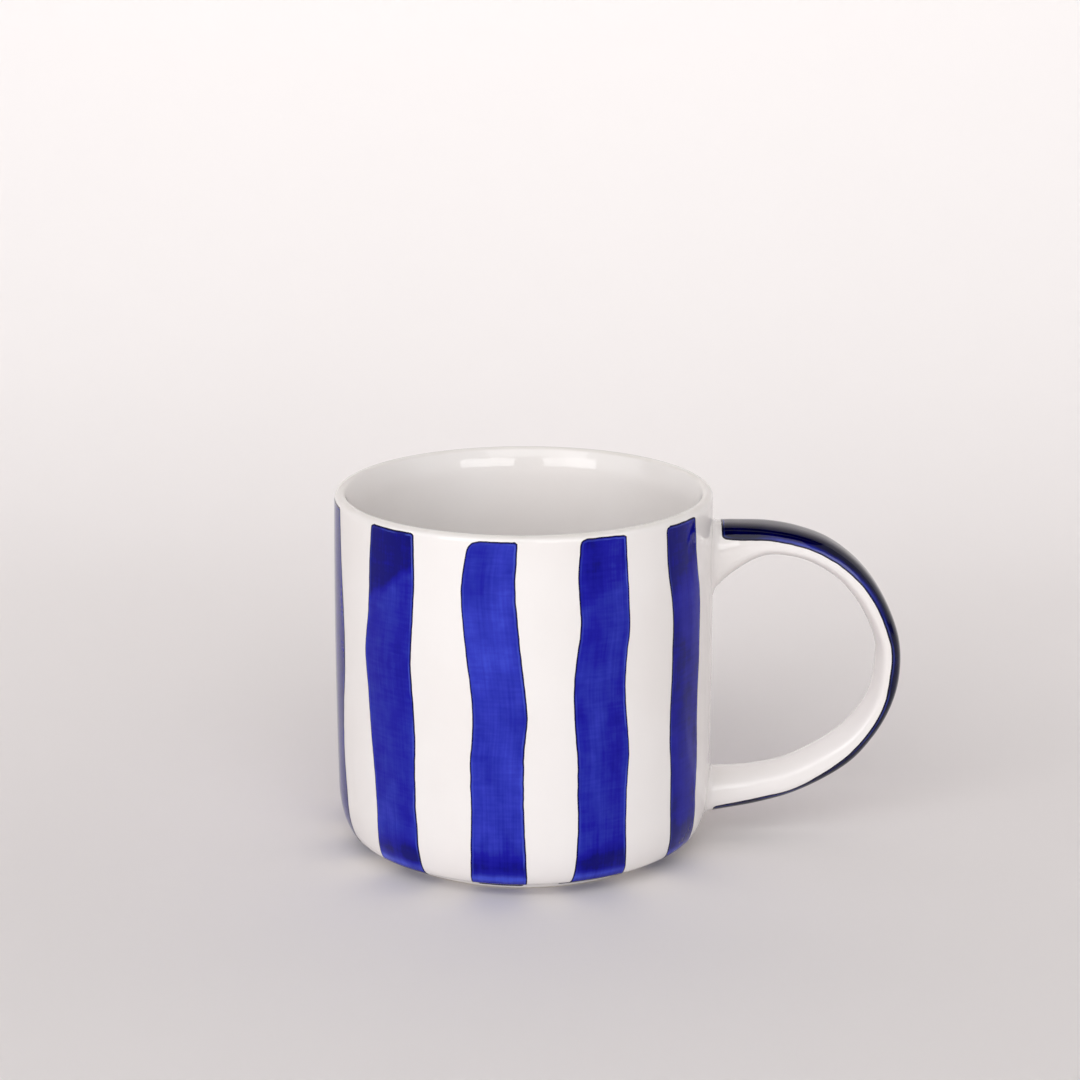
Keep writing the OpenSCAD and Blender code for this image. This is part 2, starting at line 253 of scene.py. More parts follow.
def cup_section():
    """The cup's section from the middle of its underside round to the middle of its floor inside.

    Each entry is (radius, height, distance down the outer skin or None off it)."""
    foot_in = FOOT_R - FOOT_W
    under = [(foot_in * f, RECESS_Z) for f in (0.04, 0.12, 0.25, 0.4, 0.55, 0.7, 0.82, 0.92)]
    under += arc_rows(foot_in - FILLET_R, RECESS_Z - FILLET_R, FILLET_R, FILLET_R, 90, 0, 6)
    under += arc_rows(foot_in + FOOT_ROUND, FOOT_ROUND, FOOT_ROUND, FOOT_ROUND, 180, 270, 6)
    under += [(foot_in + FOOT_W * f, 0.0) for f in (0.35, 0.5, 0.65)]
    bottom = FOOT_END + math.pi / 2 * FOOT_ROUND
    stretches = [(bottom, FOOT_END, 6), (FOOT_END, FILLET_END, 4), (FILLET_END, UNDER_END, 7),
                 (UNDER_END, CORNER_END, 5), (CORNER_END, WALL_END, 26), (WALL_END, 0, 96), (0, LIP_TOP, 12)]
    outside = [a + (b - a) * i / n for a, b, n in stretches for i in range(n)] + [LIP_TOP]
    tilt = math.degrees(LIP_TILT)
    inside = arc_rows(RIM_R - LIP_R, CUP_H - LIP_IN, LIP_IN, LIP_IN, 90, 180 - tilt, 12)[1:]
    inside += arc_rows(BORE_R + EASE_R, CUP_H - LIP_EASE, EASE_R, EASE_R, 180 - tilt, 180, 14)[1:]
    low = FLOOR_Z + FLOOR_R
    inside += [(BORE_R, CUP_H - LIP_EASE + (low - CUP_H + LIP_EASE) * i / 60) for i in range(1, 60)]
    inside += arc_rows(BORE_R - FLOOR_R, low, FLOOR_R, FLOOR_R, 0, -90, 16)
    inside += [((BORE_R - FLOOR_R) * f, FLOOR_Z) for f in (0.9, 0.78, 0.64, 0.5, 0.36, 0.24, 0.13, 0.05)]
    return [(r, z, None) for r, z in under] + [(0, 0, d) for d in outside] + [(r, z, None) for r, z in inside]


INNER_DIP = 0.05 * MM                               # mean depth of the dips inside
INNER_SCALE = 0.02                                  # size of these dips
INNER_FADE = 6 * MM                                 # they die out over this much below the lip


def inner_dip(azimuth, r, z):
    """How far the inside was pushed outwards by the fingers; it fades out at the foot and the lip."""
    if z < RECESS_Z + 1 * MM:
        return 0.0
    p = Vector((math.sin(azimuth) * r, -math.cos(azimuth) * r, z * 0.6))
    fade = min(1.0, max(0.0, (CUP_H - z) / INNER_FADE))
    return INNER_DIP * (1 + noise.noise(p / INNER_SCALE)) * fade


def build_cup():
    points = []
    for r, z, d in cup_section():
        for j in range(AROUND):
            azimuth = 2 * math.pi * j / AROUND
            if d is None:
                out = r + (inner_dip(azimuth, r, z) if r > 0.01 else 0)
                points.append((out * math.sin(azimuth), -out * math.cos(azimuth), z))
            else:
                points.append(skin_point(d, azimuth))
    rows = len(points) // AROUND
    faces = ring_faces(rows, AROUND)
    points.append((0, 0, RECESS_Z))
    points.append((0, 0, FLOOR_Z))
    last = (rows - 1) * AROUND
    for j in range(AROUND):
        k = (j + 1) % AROUND
        faces.append((rows * AROUND, k, j))
        faces.append((rows * AROUND + 1, last + j, last + k))
    cup = make_piece("mug_body", points, faces)
    finish_piece(cup, "white_glaze", "body")
    return cup


# ---------------------------------------------------------------- painted strokes on the wall
SKIN_STEPS = np.linspace(-1 * MM, FOOT_END, 4000)
SKIN_LINE = np.array([skin(d)[:2] for d in SKIN_STEPS])
PAINT_LIFT = 0.06                                   # mm that the paint stands proud of the wall
EDGE_SUNK = 0.05                                    # mm that its outline lies under the surface
WALL_SUNK = 0.25                                    # mm from a wall stroke's outer side to its hidden one
HANDLE_SUNK = 0.20                                  # the same for the stroke on the handle


def node_points(name):
    mesh = frame["nodes"][name].data
    points = np.empty(len(mesh.vertices) * 3)
    mesh.vertices.foreach_get("co", points)
    return points.reshape(-1, 3)


def stroke_edges(name):
    """Both edges of a CAD stroke as arrays: distance down the skin, left and right azimuth."""
    p = node_points(name)
    azimuth = np.arctan2(p[:, 0], -p[:, 1])
    middle = math.atan2(np.sin(azimuth).mean(), np.cos(azimuth).mean())
    azimuth = middle + np.arctan2(np.sin(azimuth - middle), np.cos(azimuth - middle))
    section = np.stack([np.hypot(p[:, 0], p[:, 1]), p[:, 2]], axis=1)
    gaps = np.linalg.norm(section[:, None, :] - SKIN_LINE[None, :, :], axis=2)
    nearest = gaps.argmin(axis=1)
    on_skin = gaps.min(axis=1) < 0.04 * MM
    distance, azimuth = SKIN_STEPS[nearest[on_skin]], azimuth[on_skin]
    order = np.argsort(distance)
    distance, azimuth = distance[order], azimuth[order]
    rows = np.split(np.arange(len(distance)), np.where(np.diff(distance) > 0.12 * MM)[0] + 1)
    rows = [row for row in rows if len(row) > 1]
    return (np.array([distance[row].mean() for row in rows]),
            np.array([azimuth[row].min() for row in rows]),
            np.array([azimuth[row].max() for row in rows]))


def wobble(seed, along):
    """The unsteady hand: how far an edge strays sideways, in mm, at each distance along it in mm."""
    def at(scale, y):
        return noise.noise(Vector((seed * 7.31, y / scale, seed * 3.7)))
    return np.array([0.20 * at(9.0, y) + 0.09 * at(2.6, y) + 0.035 * at(0.8, y) for y in along])


def grid_solid(rows, cols):
    """Faces of a closed slab: an upper grid of points, then a lower one."""
    upper = [[i * cols + j for j in range(cols)] for i in range(rows)]
    lower = [[rows * cols + k for k in row] for row in upper]
    faces = []
    for i in range(rows - 1):
        for j in range(cols - 1):
            faces.append((upper[i][j], upper[i + 1][j], upper[i + 1][j + 1], upper[i][j + 1]))
            faces.append((lower[i][j], lower[i][j + 1], lower[i + 1][j + 1], lower[i + 1][j]))
    rim = upper[0] + [row[-1] for row in upper[1:]] + upper[-1][-2::-1] + [row[0] for row in upper[-2:0:-1]]
    for a, b in zip(rim, rim[1:] + rim[:1]):
        faces.append((a, b, b + rows * cols, a + rows * cols))
    return faces


def edge_distance(across, along):
    """Distance in mm of every grid point from the grid's own outline."""
    rim = [(across[0, :], along[0, :]), (across[-1, :], along[-1, :]),
           (across[:, 0], along[:, 0]), (across[:, -1], along[:, -1])]
    line = []
    for x, y in rim:
        for i in range(len(x) - 1):
            steps = max(1, int(math.hypot(x[i + 1] - x[i], y[i + 1] - y[i]) / 0.12))
            for k in range(steps):
                line.append((x[i] + (x[i + 1] - x[i]) * k / steps, y[i] + (y[i + 1] - y[i]) * k / steps))
    line = np.array(line)
    found = np.empty(across.shape)
    for i in range(across.shape[0]):
        near = line[np.abs(line[:, 1] - along[i].mean()) < 12]
        gap = np.hypot(across[i][:, None] - near[None, :, 0], along[i][:, None] - near[None, :, 1])
        found[i] = gap.min(axis=1)
    return found


def paint_thickness(edge, seed, across, along):
    """How far the paint stands above the glaze round it, in mm: a bead at the edge, then brush ridges."""
    base = -EDGE_SUNK + (EDGE_SUNK + PAINT_LIFT) * smoothstep(edge, 0, 0.28)
    bead = 0.022 * np.exp(-((edge - 0.36) / 0.16) ** 2)
    ridge = grid_noise(across, along, 0.55, 16.0, seed * 5.1)
    return base + bead + 0.010 * ridge * smoothstep(edge, 0.3, 0.8)


def build_stroke(number, load, start):
    """One painted stroke.

    load is how much paint the brush carried, 0 to 1, and start how much more at the top."""
    name = f"stripe_{number}"
    down, left, right = stroke_edges(name)
    offsets = spaced((down[-1] - down[0]) / MM, 0.5)
    d = down[0] + offsets * MM
    left = through(down, left, d) + wobble(number, offsets) * MM / RIM_R
    right = through(down, right, d) + wobble(number + 40, offsets) * MM / RIM_R
    width = RIM_R / MM * (right - left)
    share = spaced(float(width.mean()), 0.5)
    share = share / share[-1]
    top_edge = wobble(number + 80, np.linspace(0, 14, len(share))) * 0.8
    rows, cols = len(d), len(share)
    across = (RIM_R / MM * left)[:, None] + width[:, None] * share[None, :]
    fade_in = np.exp(-offsets / 1.2)[:, None]
    along = offsets[:, None] + top_edge[None, :] * fade_in
    edge = edge_distance(across, along)
    thick = paint_thickness(edge, number, across, along)
    upper, lower = [], []
    for i in range(rows):
        for j in range(cols):
            azimuth = across[i, j] * MM / RIM_R
            at = down[0] + along[i, j] * MM
            upper.append(skin_point(at, azimuth, thick[i, j] * MM))
            lower.append(skin_point(at, azimuth, (min(0.0, thick[i, j]) - WALL_SUNK) * MM))
    stroke = make_piece(f"brush_stroke_{number}", upper + lower, grid_solid(rows, cols))
    aside = across - across.mean(axis=1, keepdims=True)
    # The colour also carries a painted reflection and painted shade near the stroke's bottom.
    colour = paint_load_and_painted_light(load, start, number, aside, along)
    add_grids(stroke, edge=edge, across=aside, along=along, load=colour)
    finish_piece(stroke, "cobalt_paint", name)
    return stroke


# Places along a stroke, as mm down it and how far they spread.
DARK_ABOVE_CORNER = (CORNER_END / MM - 7.8, 2.6)               # where the stroke is darker, above the corner
CORNER_REFLECTION = (CORNER_END / MM - 4.6, 1.2)                 # a lighter band round the corner: painted reflection of the table
FOOT_SHADE = (CORNER_END / MM - 3.0, 1.0)                 # darker again down to the foot: painted shade on the foot ring


def paint_load_and_painted_light(load, start, seed, across, along):
    """How thick the colour lies at each point, 0 to 1: patches and the start; near the bottom a darker band
    above the corner, a painted reflection lighter round the corner and painted shade darker down the foot.
    """
    patches = grid_noise(across, along, 5.5, 17.0, seed * 2.3)
    first = start * (1 - smoothstep(along + 0.7 * across + 2.5 * patches, 10, 14.5))
    # Darker band above the corner.
    darkening = 0.50 * np.exp(-((along - DARK_ABOVE_CORNER[0]) / DARK_ABOVE_CORNER[1]) ** 2)
    # Painted reflection of the table: the colour is made lighter round the corner.
    pale = -0.50 * np.exp(-((along - CORNER_REFLECTION[0]) / CORNER_REFLECTION[1]) ** 2)
    # Painted shade: the colour is made darker down the foot ring.
    foot = 0.45 * smoothstep(along, FOOT_SHADE[0], FOOT_SHADE[0] + FOOT_SHADE[1])
    return np.clip(load + 0.22 * patches + first + darkening + pale + foot, 0, 1)


# ---------------------------------------------------------------- handle
# Stations from the upper root to the lower one, as in the CAD, in mm: outer crest x, z and
# inner crest x, z, with x counted from the wall.
STATIONS = np.array([
    [0.2, 79.2, 0.3, 62.7],
    [6.0, 79.3, 5.6, 67.5],
    [13.0, 79.0, 12.2, 71.2],
    [21.0, 77.5, 18.8, 71.1],
    [28.5, 74.5, 24.8, 69.0],
    [35.7, 68.8, 30.7, 64.9],
    [41.3, 61.0, 35.9, 58.3],
    [45.2, 51.2, 39.6, 49.7],
    [45.8, 41.8, 39.8, 42.1],
    [44.0, 33.6, 38.2, 35.1],
    [39.7, 25.6, 34.5, 29.3],
    [33.5, 18.7, 29.0, 24.6],
    [22.8, 12.4, 19.6, 19.5],
    [12.0, 8.9, 10.0, 17.3],
    [-1.6, 6.5, 0.2, 16.7],
])
LAST = len(STATIONS) - 1
HALF_WIDTH = 6.5 * MM
ROOT_FLARE = 0.8 * MM                               # extra half width at each root
ROOT_STRETCH = 1.5                                  # stations over which it dies out
OUTER_SHARE = 0.64
OUTER_POWER = 2.9                                   # how square the outer side is; 2 is an ellipse
SLIP_R = 2.2 * MM
SLIP_CLIMB = 0.7                                    # how far the slip climbs the handle, times its radius
HANDLE_SIDES = 84
MIDDLING = 6.5                                      # a station whose section is a typical one
ROOT_SUNK = 1.2 * MM                                # how far the handle's ends reach into the cup's wall
SLIP_SINK = 0.015 * MM                              # the slip's thin edges dip this far under the skin


def station_at(t):
    """The four crest values at station t, on a smooth curve through the list, in metres."""
    i = min(LAST - 1, max(0, int(t)))
    u = t - i
    b, c = STATIONS[i], STATIONS[i + 1]
    a = STATIONS[i - 1] if i > 0 else 2 * b - c
    d = STATIONS[i + 2] if i + 2 <= LAST else 2 * c - b
    return (b + 0.5 * u * ((c - a) + u * ((2 * a - 5 * b + 4 * c - d) + u * (3 * (b - c) + d - a)))) * MM


def toward(x, power):
    return math.copysign(abs(x) ** power, x)


def handle_skin(t, angle, lift=0.0):
    """A point of the handle's skin at station t, angle round the section in radians from the outer crest."""
    s = station_at(t)
    outer, inner = Vector((RIM_R + s[0], s[1])), Vector((RIM_R + s[2], s[3]))
    middle = outer.lerp(inner, OUTER_SHARE)
    away = (outer - inner).normalized()
    c, si = math.cos(angle), math.sin(angle)
    depth = (outer - middle).length if c > 0 else (inner - middle).length
    near = max(0.0, 1 - min(t, LAST - t) / ROOT_STRETCH)
    half = HALF_WIDTH + ROOT_FLARE * near * near
    power = 2 / (OUTER_POWER if c > 0 else 2)
    normal = Vector((toward(c, 2 - power) / depth, toward(si, 2 - power) / half)).normalized()
    dip = 0.05 * MM * (noise.noise(Vector((t * 0.9, c * 0.8, si * 0.8))) - 1) * min(1.0, t, LAST - t)
    p = middle + away * (depth * toward(c, power) + (lift + dip) * normal.x)
    return Vector((p.x, half * toward(si, power) + (lift + dip) * normal.y, p.y))


def on_wall(p, sunk=0.0):
    """The point of the cup's wall level with p, or sunk into it."""
    azimuth = math.atan2(p[0], -p[1])
    r = wall_radius(p[2]) - hand_dip(azimuth, p[2]) - sunk
    return Vector((math.sqrt(max(0.0, r * r - p[1] * p[1])), p[1], p[2]))


def section_angles(sides):
    """Angles that lie evenly spaced along a middling section of the handle."""
    fine = np.linspace(0, math.pi, 2001)
    points = np.array([handle_skin(MIDDLING, a) for a in fine])
    arc = run_length(points)
    front = np.interp(np.linspace(0, arc[-1], sides // 2 + 1), arc, fine)
    return list(front[:-1]) + [2 * math.pi - a for a in front[:0:-1]]


def build_handle():
    angles = section_angles(HANDLE_SIDES)
    steps = LAST * 12
    rings = [[on_wall(handle_skin(0, a), sunk) for a in angles] for sunk in (ROOT_SUNK, 0.0)]
    rings += [[handle_skin(LAST * i / steps, a) for a in angles] for i in range(1, steps)]
    rings += [[on_wall(handle_skin(LAST, a), sunk) for a in angles] for sunk in (0.0, ROOT_SUNK)]
    points = [p for ring in rings for p in ring]
    faces = ring_faces(len(rings), HANDLE_SIDES)
    for ring, flip in ((0, True), (len(rings) - 1, False)):
        centre = sum(rings[ring], Vector()) / HANDLE_SIDES
        points.append(centre)
        for j in range(HANDLE_SIDES):
            a, b = ring * HANDLE_SIDES + j, ring * HANDLE_SIDES + (j + 1) % HANDLE_SIDES
            faces.append((len(points) - 1, b, a) if flip else (len(points) - 1, a, b))
    piece = make_piece("mug_handle", points, faces)
    finish_piece(piece, "white_glaze", "handle")
    return piece


def build_slip(name, node, t, inward):
    """The slip smoothed into the corner round one root: a soft concave fillet that runs out on both sides."""
    curve = 14
    rings = []
    at_root = (handle_skin(t, 0) + handle_skin(t, math.pi)) / 2
    spacing = (handle_skin(t + inward, 0) - handle_skin(t, 0)).length
    for a in section_angles(HANDLE_SIDES):
        size = SLIP_R * (1 + 0.16 * noise.noise(Vector((math.cos(a) * 1.3, math.sin(a) * 1.3, t + 3.0))))
        corner = on_wall(handle_skin(t, a))
        up = handle_skin(t + inward * SLIP_CLIMB * size / spacing, a, -SLIP_SINK)
        flat = Vector((0, corner.y - at_root.y, corner.z - at_root.z)).normalized()
        out = on_wall(corner + flat * size, SLIP_SINK)
        hidden = on_wall(corner - flat * 0.8 * MM, 0.8 * MM)
        line = [(1 - s) ** 2 * up + 2 * s * (1 - s) * corner + s * s * out
                for s in (k / curve for k in range(curve + 1))]
        rings.append([hidden] + line)
    sides = curve + 2
    points = [p for ring in rings for p in ring]
    faces = []
    for i in range(HANDLE_SIDES):
        for k in range(sides):
            a, b = i * sides + k, i * sides + (k + 1) % sides
            c = ((i + 1) % HANDLE_SIDES) * sides + (k + 1) % sides
            d = ((i + 1) % HANDLE_SIDES) * sides + k
            faces.append((a, d, c, b) if inward > 0 else (a, b, c, d))
    piece = make_piece(name, points, faces)
    finish_piece(piece, "white_glaze", node)
    return piece


# The stroke along the handle: half its width at each station in degrees, as in the CAD.
BAND_HALF = 78 - np.array([36, 22, 11, 4, 2, 2, 4, 3, 0, 2, 7, 13, 23, 24, 28])
BAND_FROM = 0.24                                    # stations at which it starts and ends
BAND_TO = LAST - 0.15


def band_angle(t):
    plain = through(np.arange(LAST + 1.0), BAND_HALF, t)
    return math.acos(math.cos(math.radians(plain)) ** (OUTER_POWER / 2))


def band_row(t, limit):
    """Angles across the handle's outer side at station t, and the way to each in mm from the crest."""
    u = np.linspace(-1, 1, 121)
    angles = min(math.pi / 2, limit + 0.1) * np.sign(u) * np.abs(u) ** (OUTER_POWER / 2)
    points = np.array([handle_skin(t, a) for a in angles]) / MM
    way = run_length(points)
    return angles, way - way[len(way) // 2]


def build_handle_stroke():
    places = np.linspace(BAND_FROM, BAND_TO, 401)
    run = run_length(np.array([handle_skin(t, 0) for t in places]) / MM)
    offsets = spaced(run[-1], 0.55)
    stations = np.interp(offsets, run, places)
    share = spaced(16.0, 0.42)
    share = share / share[-1]
    near = np.clip(np.minimum(offsets, run[-1] - offsets) / 1.6, 0, 1)
    limits = np.array([band_angle(t) for t in stations]) * (0.85 + 0.15 * np.sqrt(near * (2 - near)))
    front, back = wobble(60, offsets), wobble(61, offsets)
    slant = 0.7 * share + wobble(62, share * 14) * 1.6
    ends = np.exp(-offsets / 2.0) - np.exp(-(run[-1] - offsets) / 2.0)
    rows, cols = len(offsets), len(share)
    across, turn = np.empty((rows, cols)), np.empty((rows, cols))
    for i, t in enumerate(stations):
        angles, way = band_row(t, limits[i])
        first = np.interp(-limits[i], angles, way) - front[i]
        last = np.interp(limits[i], angles, way) + back[i]
        across[i] = first + (last - first) * share
        turn[i] = np.interp(across[i], way, angles)
    along = offsets[:, None] + slant[None, :] * ends[:, None]
    edge = edge_distance(across, along)
    thick = paint_thickness(edge, 17, across, along)
    station = np.interp(along, offsets, stations)
    upper, lower = [], []
    for i in range(rows):
        for j in range(cols):
            t, angle, up = station[i, j], turn[i, j], thick[i, j]
            upper.append(handle_skin(t, angle, up * MM))
            lower.append(handle_skin(t, angle, (min(0.0, up) - HANDLE_SUNK) * MM))
    stroke = make_piece("brush_stroke_handle", upper + lower, grid_solid(rows, cols))
    patches = grid_noise(across, along, 4.0, 14.0, 9.0)
    # Lighter along its edges over the upper half of the handle: painted reflection of the room.
    thin = smoothstep(along, 6, 16) * (1 - smoothstep(along, 42, 58)) * np.exp(-((edge - 0.8) / 0.7) ** 2)
    load = np.clip(0.96 + 0.10 * patches - 0.85 * thin, 0, 1)
    add_grids(stroke, edge=edge, across=across, along=along, load=load)
    finish_piece(stroke, "cobalt_paint", "handle_stripe")
    return stroke


# ---------------------------------------------------------------- materials
class Nodes:
    """A material's node tree, with short calls for the nodes used here."""

    def __init__(self, name):
        self.material = bpy.data.materials.new(name)
        self.material.use_nodes = True
        self.tree = self.material.node_tree
        self.shader = self.tree.nodes["Principled BSDF"]
        self.place = self.add("ShaderNodeTexCoord").outputs["Object"]

    def add(self, kind, **settings):
        made = self.tree.nodes.new(kind)
        for key, value in settings.items():
            setattr(made, key, value)
        return made

    def link(self, value, socket):
        """Feeds a socket from another node's output, or sets it to a plain value."""
        if isinstance(value, bpy.types.NodeSocket):
            self.tree.links.new(value, socket)
        else:
            socket.default_value = value

    def maths(self, what, a, b=0.0, clamp=False):
        made = self.add("ShaderNodeMath", operation=what, use_clamp=clamp)
        self.link(a, made.inputs[0])
        self.link(b, made.inputs[1])
        return made.outputs[0]

    def centred(self, value, strength):
        """value of 0..1 turned into a swing round zero of that strength."""
        return self.maths("MULTIPLY", self.maths("SUBTRACT", value, 0.5), strength)

    def ramp(self, value, low, high, start=0.0, end=1.0):
        """value from low..high smoothly mapped to start..end."""
        made = self.add("ShaderNodeMapRange", interpolation_type="SMOOTHSTEP")
        sockets = ("Value", "From Min", "From Max", "To Min", "To Max")
        for socket, v in zip(sockets, (value, low, high, start, end)):
            self.link(v, made.inputs[socket])
        return made.outputs["Result"]

    def noise(self, scale, detail=2.0, where=None, rough=0.5):
        made = self.add("ShaderNodeTexNoise")
        self.link(self.place if where is None else where, made.inputs["Vector"])
        self.link(scale, made.inputs["Scale"])
        self.link(detail, made.inputs["Detail"])
        self.link(rough, made.inputs["Roughness"])
        return made.outputs["Fac"]

    def mix(self, factor, a, b):
        made = self.add("ShaderNodeMix", data_type="RGBA")
        self.link(factor, made.inputs["Factor"])
        self.link(a, made.inputs[6])
        self.link(b, made.inputs[7])
        return made.outputs[2]

    def colours(self, value, stops):
        made = self.add("ShaderNodeValToRGB")
        self.link(value, made.inputs["Fac"])
        for at, colour in stops[1:-1]:
            made.color_ramp.elements.new(at)
        for element, (at, colour) in zip(made.color_ramp.elements, stops):
            element.position = at
            element.color = colour
        return made.outputs["Color"]

    def height(self):
        """Height above the table in metres."""
        made = self.add("ShaderNodeSeparateXYZ")
        self.link(self.place, made.inputs["Vector"])
        return made.outputs["Z"]

    def read(self, name):
        return self.add("ShaderNodeAttribute", attribute_name=name).outputs["Fac"]

    def bump(self, height, distance, strength=1.0, after=None):
        made = self.add("ShaderNodeBump")
        self.link(height, made.inputs["Height"])
        self.link(distance, made.inputs["Distance"])
        self.link(strength, made.inputs["Strength"])
        if after is not None:
            self.link(after, made.inputs["Normal"])
        return made.outputs["Normal"]


def glaze_relief(n):
    """The glaze's skin: a slow unevenness, and a finer orange peel on top of it."""
    slow = n.bump(n.noise(90, 1.0), 0.00010, 0.5)
    return n.bump(n.noise(700, 2.0), 0.000012, 0.6, slow)


def white_glaze():
    n = Nodes("white_glaze")
    cloud = n.noise(28, 3.0)
    body = n.mix(n.ramp(cloud, 0.35, 0.65), (0.818, 0.780, 0.762, 1), (0.842, 0.809, 0.795, 1))
    lip = n.ramp(n.height(), CUP_H - 0.9 * MM, CUP_H - 0.1 * MM)
    thin = n.maths("MULTIPLY", lip, n.noise(160, 2.0), clamp=True)
    body = n.mix(thin, body, (0.76, 0.72, 0.67, 1))
    # Darker round the crease between the underside and the foot ring: partly glaze gathered in the crease,
    # partly painted shade.
    corner = n.ramp(n.height(), 1.9 * MM, 2.9 * MM)
    crease_glaze_and_shade = n.maths("MULTIPLY", corner, n.ramp(n.height(), 3.4 * MM, 3.7 * MM, 1.0, 0.0))
    body = n.mix(n.maths("MULTIPLY", crease_glaze_and_shade, 0.6), body, (0.50, 0.47, 0.45, 1))
    n.link(body, n.shader.inputs["Base Color"])
    n.link(n.ramp(n.noise(60, 2.0), 0.3, 0.7, 0.015, 0.040), n.shader.inputs["Roughness"])
    n.link(glaze_relief(n), n.shader.inputs["Normal"])
    n.shader.inputs["IOR"].default_value = 1.5
    return n.material


def bare_clay():
    n = Nodes("bare_clay")
    grain = n.noise(1500, 4.0, rough=0.7)
    n.link(n.colours(grain, [(0.25, (0.50, 0.43, 0.35, 1)), (0.5, (0.66, 0.60, 0.52, 1)),
                             (0.8, (0.74, 0.69, 0.62, 1))]), n.shader.inputs["Base Color"])
    n.link(n.ramp(grain, 0.2, 0.8, 0.75, 0.95), n.shader.inputs["Roughness"])
    n.link(n.bump(grain, 0.00008, 0.7), n.shader.inputs["Normal"])
    return n.material


# Colours from thin to thick paint.
WALL_TONES = [
    (0.0, (0.045, 0.072, 0.60, 1)),
    (0.3, (0.025, 0.035, 0.44, 1)),
    (0.5, (0.013, 0.020, 0.35, 1)),
    (0.65, (0.006, 0.006, 0.32, 1)),
    (0.85, (0.001, 0.001, 0.25, 1)),
    (1.0, (0.0, 0.0, 0.15, 1)),
]
HANDLE_TONES = [
    (0.0, (0.030, 0.050, 0.34, 1)),
    (0.3, (0.008, 0.010, 0.16, 1)),
    (0.6, (0.001, 0.001, 0.070, 1)),
    (0.85, (0.0, 0.0, 0.030, 1)),
    (1.0, (0.0, 0.0, 0.018, 1)),
]
WALL_SHINE = 0.16                                   # how strongly the glaze over the paint mirrors
HANDLE_SHINE = 0.30
EDGE_HIGHLIGHT = (0.055, 0.085, 0.50, 1)                 # just inside the outline: painted highlight along the paint's raised edge
OUTLINE = (0.003, 0.003, 0.022, 1)                  # at the outline, where it pooled


def cobalt_paint(name, seed, tones, shine):
    """Cobalt brushed on under the glaze: streaks along the stroke, a dark, pooled outline and a painted
    highlight just inside it.
    """
    n = Nodes(name)
    edge, across, along, load = (n.read(v) for v in ("edge", "across", "along", "load"))

    def brushed(sideways, lengthways, shift, detail=3.0):
        place = n.add("ShaderNodeCombineXYZ")
        n.link(n.maths("DIVIDE", across, sideways), place.inputs[0])
        n.link(n.maths("DIVIDE", along, lengthways), place.inputs[1])
        n.link(seed + shift, place.inputs[2])
        return n.noise(1.0, detail, place.outputs[0])

    streak = brushed(0.55, 22.0, 0.0)
    cloud = brushed(3.2, 5.0, 20.0)
    hatch = brushed(7.0, 0.8, 40.0)
    depth = n.maths("ADD", load, n.centred(streak, 0.34))
    depth = n.maths("ADD", depth, n.centred(cloud, 0.45))
    depth = n.maths("ADD", depth, n.centred(hatch, 0.26), clamp=True)
    blue = n.colours(depth, tones)
    ragged = n.maths("ADD", edge, n.centred(brushed(0.9, 1.3, 60.0), 0.22))
    # Painted highlight: a lighter line just inside the outline, in patches, stronger on one side of the
    # stroke.
    inner = n.maths("MULTIPLY", n.ramp(ragged, 0.50, 0.62), n.ramp(ragged, 0.72, 1.0, 1.0, 0.0))
    inner = n.maths("MULTIPLY", inner, n.ramp(brushed(5.0, 9.0, 80.0, 1.0), 0.36, 0.60, 0.10, 0.8))
    inner = n.maths("MULTIPLY", inner, n.ramp(across, -3.0, 3.0, 0.45, 1.0))
    blue = n.mix(inner, blue, EDGE_HIGHLIGHT)
    darkening = n.ramp(ragged, 0.34, 0.56, 1.0, 0.0)
    blue = n.mix(n.maths("MULTIPLY", darkening, 0.95), blue, OUTLINE)
    n.link(blue, n.shader.inputs["Base Color"])
    n.link(n.ramp(n.noise(60, 2.0), 0.3, 0.7, 0.030, 0.065), n.shader.inputs["Roughness"])
    relief = n.bump(streak, 0.00002, 0.4, glaze_relief(n))
    n.link(relief, n.shader.inputs["Normal"])
    n.shader.inputs["IOR"].default_value = 1.5
    n.shader.inputs["Specular IOR Level"].default_value = shine
    return n.material


# ---------------------------------------------------------------- put the mug together
WIPED = 0.28 * MM                                   # the glaze was wiped off the foot up to this height

glaze, clay = white_glaze(), bare_clay()
cup = build_cup()
cup.data.materials.append(glaze)
cup.data.materials.append(clay)
for face in cup.data.polygons:
    if face.center.z < WIPED:
        face.material_index = 1

handle = build_handle()
upper_slip = build_slip("slip_upper", "upper_slip_joint", 0, 1)
lower_slip = build_slip("slip_lower", "lower_slip_joint", LAST, -1)
for piece in (handle, upper_slip, lower_slip):
    piece.data.materials.append(glaze)

# How much paint each stroke carries along it, and how much more at its start.
LOADS = ((1.0, 0.0), (0.54, 0.66), (0.38, 0.08), (0.55, 0.20), (0.82, 0.20),
         (0.52, 0.15), (0.44, 0.30), (0.56, 0.10), (0.40, 0.25), (0.62, 0.10))
for number, (load, start) in enumerate(LOADS, start=1):
    stroke = build_stroke(number, load, start)
    stroke.data.materials.append(cobalt_paint(f"cobalt_{number}", number * 3.0, WALL_TONES, WALL_SHINE))
band = build_handle_stroke()
band.data.materials.append(cobalt_paint("cobalt_handle", 50.0, HANDLE_TONES, HANDLE_SHINE))


